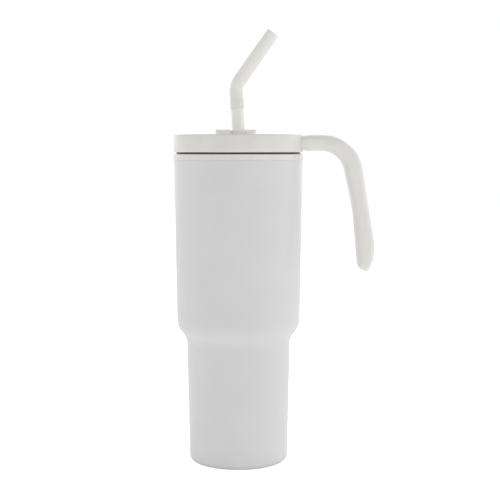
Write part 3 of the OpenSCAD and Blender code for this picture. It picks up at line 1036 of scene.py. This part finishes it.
@dataclass
class Straw:
    """Drinking straw: a stiff tube in the grommet and a bent soft tip pushed over its top."""

    palette: Palette
    joints: list[dict[str, object]]
    tube_d: float = 9.7
    tube_wall: float = 1.0
    tip_extra: float = 0.3
    flare_wall: float = 0.45
    grip: float = 8.0
    tip_start: float = 19.6
    tip_bend: float = 36.8
    bend_angle: float = 38.8
    bend_r: float = 14.0
    tip_len: float = 48.3
    edge: float = 0.25
    lip: float = 0.35
    seat_gap: float = 0.05
    fit_gap: float = 0.02
    around: int = 64
    tube_steps: int = 44
    bend_steps: int = 16
    flare_steps: int = 11

    def axis(self) -> tuple[Vector, Vector]:
        """The straw's leaning axis.

        Returns:
            A point on it in metres and its direction.
        """
        turn = next(j for j in self.joints if j["name"] == "straw_turn")
        return Vector(turn["pos_m"]), Vector(turn["axis"]).normalized()

    def build(self) -> list[bpy.types.Object]:
        """Makes and dresses the tube and the tip.

        Returns:
            The new pieces.
        """
        origin, axis = self.axis()
        side = Vector((axis.z, 0.0, -axis.x))
        across = axis.cross(side)
        lid_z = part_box("lid_top")[1].z
        low = (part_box("straw_tube")[0].z - origin.z) / axis.z / MM
        low += self.tube_d / 2 * abs(axis.x) / axis.z
        tip_low = (lid_z - origin.z) / MM / axis.z + self.tip_start / axis.z
        corner = (lid_z - origin.z) / MM / axis.z + self.tip_bend / axis.z

        def ring(centre: Vector, out: Vector, radius: float) -> list[Vector]:
            """Circle of points round a centre, in the plane of out and across."""
            turns = (math.tau * k / self.around for k in range(self.around))
            return [centre + (out * math.cos(t) + across * math.sin(t)) * radius * MM for t in turns]

        def straight(r: float, at: float) -> list[Vector]:
            """Ring round the leaning axis."""
            return ring(origin + axis * at * MM, side, r)

        tube_r = self.tube_d / 2
        bore_r = tube_r - self.tube_wall
        top = tip_low + self.grip
        edge = self.edge
        stretch = top - low - 2 * edge
        count = self.tube_steps
        steps = [low + edge + stretch * k / count for k in range(count + 1)]
        rings = [straight(bore_r + edge, low), straight(tube_r - edge, low)]
        rings += [straight(tube_r, s) for s in steps]
        rings += [straight(tube_r - edge, top), straight(bore_r + edge, top)]
        rings += [straight(bore_r, s) for s in reversed(steps)]
        tube = loft("straw_stem", rings, wrap=True)
        dress(tube, self.palette[Look.TUBE])

        tip_r = tube_r + self.tip_extra / 2
        flare_r = tube_r + self.flare_wall
        reach = self.bend_r * math.tan(math.radians(self.bend_angle) / 2)
        bend_low = corner - reach
        flare_top = tip_low + self.grip + 1

        def along(s: float) -> tuple[Vector, Vector]:
            """Centre and outward direction at a distance from the bend's start."""
            if s <= 0:
                return origin + axis * (bend_low + s) * MM, side
            a = min(s / self.bend_r, math.radians(self.bend_angle))
            rest = max(0.0, s - self.bend_r * math.radians(self.bend_angle))
            heading = axis * math.cos(a) + side * math.sin(a)
            out = side * math.cos(a) - axis * math.sin(a)
            centre = origin + axis * (bend_low + self.bend_r * math.sin(a)) * MM
            centre += side * self.bend_r * (1 - math.cos(a)) * MM + heading * rest * MM
            return centre, out

        bend_len = self.bend_r * math.radians(self.bend_angle)
        end = bend_len + self.tip_len - reach
        start = tip_low - bend_low
        lip = self.lip
        # A lip's middle point lies this far from its corner.
        nick = lip * 0.3
        outer: list[Point2] = [(start, flare_r - lip), (start + nick, flare_r - nick)]
        flare_run = flare_top - tip_low
        for k in range(1, self.flare_steps + 1):
            share = k / self.flare_steps
            outer.append((start + lip + (flare_run - lip) * share, blend(flare_r, tip_r, share)))
        count = self.bend_steps
        mouth_run = end - lip - bend_len
        outer += [(bend_len * k / count, tip_r) for k in range(count + 1)]
        outer += [(bend_len + mouth_run * k / count, tip_r) for k in range(1, count + 1)]
        outer += [(end - nick, tip_r - nick), (end, tip_r - lip)]
        inner = [(end, bore_r + lip), (end - nick, bore_r + nick)]
        inner += [(bend_len + mouth_run * (1 - k / count), bore_r) for k in range(count + 1)]
        inner += [(bend_len * (1 - k / count), bore_r) for k in range(1, count + 1)]
        seat = top - bend_low + self.seat_gap
        seat_r = tube_r + self.fit_gap
        inner += [(seat, bore_r), (seat, seat_r), (start + lip, seat_r)]
        shape = []
        for s, radius in outer + inner:
            centre, out = along(s)
            shape.append(ring(centre, out, radius))
        tip = loft("straw_mouth_tip", shape, wrap=True)
        dress(tip, self.palette[Look.TIP])
        stand_ins = (
            (tube, "straw_tube", "straw_plastic"),
            (tip, "straw_tip", "straw_silicone"),
        )
        for piece, node, slot in stand_ins:
            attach(piece, "straw")
            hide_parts(node)
        return [tube, tip]


# -------------------------------------------------------------------- the stage


@dataclass
class Studio:
    """Pale floor, white surround, soft lights and the camera."""

    floor_size: float = 8.0
    camera_side_m: float = 0.0088
    camera_back_m: float = 0.8955
    camera_high_m: float = 0.2372
    camera_pitch: float = 4.82
    lens: float = 85.0
    front: float = 0.86
    back: float = 1.02
    rim: float = 1.0
    right: float = 0.11
    top: float = 0.58
    floor_fill: float = 0.36
    # The floor's own light begins under the foot's edge and is full past it; the unlit floor close
    # round the foot is a painted contact shade that darkens the tumbler's lower edge.
    painted_contact_shade_m: float = 0.03
    painted_contact_fade_m: float = 0.05
    aim_high_m: float = 0.14
    box_size_m: float = 0.8
    right_watts: float = 1.1
    left_watts: float = 0.7
    sensor: float = 36.0

    def build(self) -> None:
        """Makes the stage."""
        self.floor()
        self.surround()
        self.lights()
        self.camera()
        bpy.context.scene.view_settings.view_transform = "Standard"

    def floor(self) -> None:
        """A wide matt floor that reads as white paper."""
        bm = bmesh.new()
        bmesh.ops.create_grid(bm, x_segments=8, y_segments=8, size=self.floor_size / 2)
        floor = mesh_object("studio_floor", bm)
        material = bpy.data.materials.new("white_paper")
        material.use_nodes = True
        tree = material.node_tree
        tree.nodes.clear()
        where = add_node(tree, "ShaderNodeTexCoord").outputs["Object"]
        # Paper fibres clump in patches of about 3 mm.
        fibre = add_node(
            tree,
            "ShaderNodeTexNoise",
            {"Scale": per_metre(3.0), "Detail": 4.0},
            {"Vector": where},
        )
        tone = add_node(tree, "ShaderNodeValToRGB", links={"Fac": fibre.outputs["Fac"]})
        tone.color_ramp.elements[0].color = linear("#f4f4f4")
        tone.color_ramp.elements[1].color = linear("#fafafa")
        paper = add_node(
            tree,
            "ShaderNodeBsdfPrincipled",
            {"Roughness": 0.9, "Specular IOR Level": 0.1},
            {"Base Color": tone.outputs["Color"]},
        )
        glow = add_node(tree, "ShaderNodeEmission", {"Strength": 0.8})
        both = add_node(
            tree,
            "ShaderNodeAddShader",
            links={"0": paper.outputs["BSDF"], "1": glow.outputs["Emission"]},
        )
        paper_dim = add_node(tree, "ShaderNodeBsdfDiffuse", {"Color": (0.82, 0.82, 0.82, 1.0)})
        # Painted contact shade: the floor's glow, seen only by light that bounces onto the tumbler, is
        # zero close round the foot and rises to full a little past it.
        reach = add_node(tree, "ShaderNodeVectorMath", {"operation": "LENGTH"}, {"Vector": where})
        near = add_node(
            tree,
            "ShaderNodeMapRange",
            {
                "From Min": self.painted_contact_shade_m,
                "From Max": self.painted_contact_fade_m,
                "To Min": 0.0,
                "To Max": self.floor_fill,
            },
            {"Value": reach.outputs["Value"]},
        )
        fill = add_node(tree, "ShaderNodeEmission", links={"Strength": near.outputs["Result"]})
        dim = add_node(
            tree,
            "ShaderNodeAddShader",
            links={"0": paper_dim.outputs["BSDF"], "1": fill.outputs["Emission"]},
        )
        path = add_node(tree, "ShaderNodeLightPath")
        mix = add_node(
            tree,
            "ShaderNodeMixShader",
            links={
                "0": path.outputs["Is Camera Ray"],
                "1": dim.outputs["Shader"],
                "2": both.outputs["Shader"],
            },
        )
        add_node(tree, "ShaderNodeOutputMaterial", links={"Surface": mix.outputs["Shader"]})
        dress(floor, material)

    def surround(self) -> None:
        """White beyond the floor, and a soft light that is stronger behind and to the right."""
        world = bpy.data.worlds.new("white_surround")
        bpy.context.scene.world = world
        world.use_nodes = True
        tree = world.node_tree
        tree.nodes.clear()
        where = add_node(tree, "ShaderNodeTexCoord").outputs["Generated"]
        axes = add_node(tree, "ShaderNodeSeparateXYZ", links={"Vector": where})
        depth = add_node(
            tree,
            "ShaderNodeMapRange",
            {"From Min": -1.0, "From Max": 1.0, "To Min": self.front, "To Max": self.back},
            {"Value": axes.outputs["Y"]},
        )
        sideways = add_node(
            tree,
            "ShaderNodeMapRange",
            {"From Min": -1.0, "From Max": 1.0, "To Min": -self.right, "To Max": self.right},
            {"Value": axes.outputs["X"]},
        )
        total = add_node(
            tree,
            "ShaderNodeMath",
            {"operation": "ADD"},
            {"0": depth.outputs["Result"], "1": sideways.outputs["Result"]},
        )
        behind = add_node(
            tree,
            "ShaderNodeMapRange",
            {"From Min": 0.55, "From Max": 0.9, "To Min": 0.0, "To Max": self.rim},
            {"Value": axes.outputs["Y"]},
        )
        rimmed = add_node(
            tree,
            "ShaderNodeMath",
            {"operation": "ADD"},
            {"0": total.outputs["Value"], "1": behind.outputs["Result"]},
        )
        upward = add_node(
            tree,
            "ShaderNodeMapRange",
            {"From Min": 0.0, "From Max": 1.0, "To Min": 1.0, "To Max": self.top},
            {"Value": axes.outputs["Z"]},
        )
        dimmed = add_node(
            tree,
            "ShaderNodeMath",
            {"operation": "MULTIPLY"},
            {"0": rimmed.outputs["Value"], "1": upward.outputs["Result"]},
        )
        soft = add_node(tree, "ShaderNodeBackground", links={"Strength": dimmed.outputs["Value"]})
        white = add_node(tree, "ShaderNodeBackground", {"Strength": 1.02})
        for background in (soft, white):
            background.inputs["Color"].default_value = (1.0, 1.0, 1.0, 1.0)
        path = add_node(tree, "ShaderNodeLightPath")
        mix = add_node(
            tree,
            "ShaderNodeMixShader",
            links={
                "0": path.outputs["Is Camera Ray"],
                "1": soft.outputs["Background"],
                "2": white.outputs["Background"],
            },
        )
        add_node(tree, "ShaderNodeOutputWorld", links={"Surface": mix.outputs["Shader"]})

    def lights(self) -> None:
        """Large soft boxes on both sides, the right one stronger."""
        size = self.box_size_m
        self.soft_box("softbox_right", Vector((1.1, 0.1, 0.45)), size, self.right_watts)
        self.soft_box("softbox_left", Vector((-1.1, 0.35, 0.5)), size, self.left_watts)

    def soft_box(self, name: str, place: Vector, size: float, watts: float) -> None:
        """Adds one square area light that points at the middle of the tumbler.

        Args:
            name: Name of the light.
            place: Its position in metres.
            size: Its width in metres.
            watts: Its power.
        """
        light = bpy.data.lights.new(name, "AREA")
        light.size = size
        light.energy = watts
        obj = bpy.data.objects.new(name, light)
        obj.location = place
        aim = Vector((0.0, 0.0, self.aim_high_m)) - place
        obj.rotation_euler = aim.to_track_quat("-Z", "Y").to_euler()
        bpy.context.scene.collection.objects.link(obj)

    def camera(self) -> None:
        """A short telephoto in front of the tumbler, a little above its middle."""
        data = bpy.data.cameras.new("camera")
        data.lens = self.lens
        data.sensor_width = self.sensor
        data.clip_start = 0.01
        obj = bpy.data.objects.new("camera", data)
        obj.location = (self.camera_side_m, -self.camera_back_m, self.camera_high_m)
        obj.rotation_euler = (math.radians(90 - self.camera_pitch), 0.0, 0.0)
        bpy.context.scene.collection.objects.link(obj)
        bpy.context.scene.camera = obj


def main() -> None:
    """Builds the tumbler round the CAD frame and reports each piece."""
    logging.basicConfig(level=logging.INFO, format="%(name)s: %(message)s")
    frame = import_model()
    palette = Palette()
    nodes = frame["nodes"]
    assemblies = [
        Tumbler(palette, nodes),
        Lid(palette, nodes),
        Handle(palette),
        Closure(palette, nodes),
        Straw(palette, frame["joints"]),
    ]
    for assembly in assemblies:
        for piece in assembly.build():
            LOG.info("%s: %s, %d faces", type(assembly).__name__, piece.name, len(piece.data.polygons))
    Studio().build()


if __name__ == "__main__":
    main()
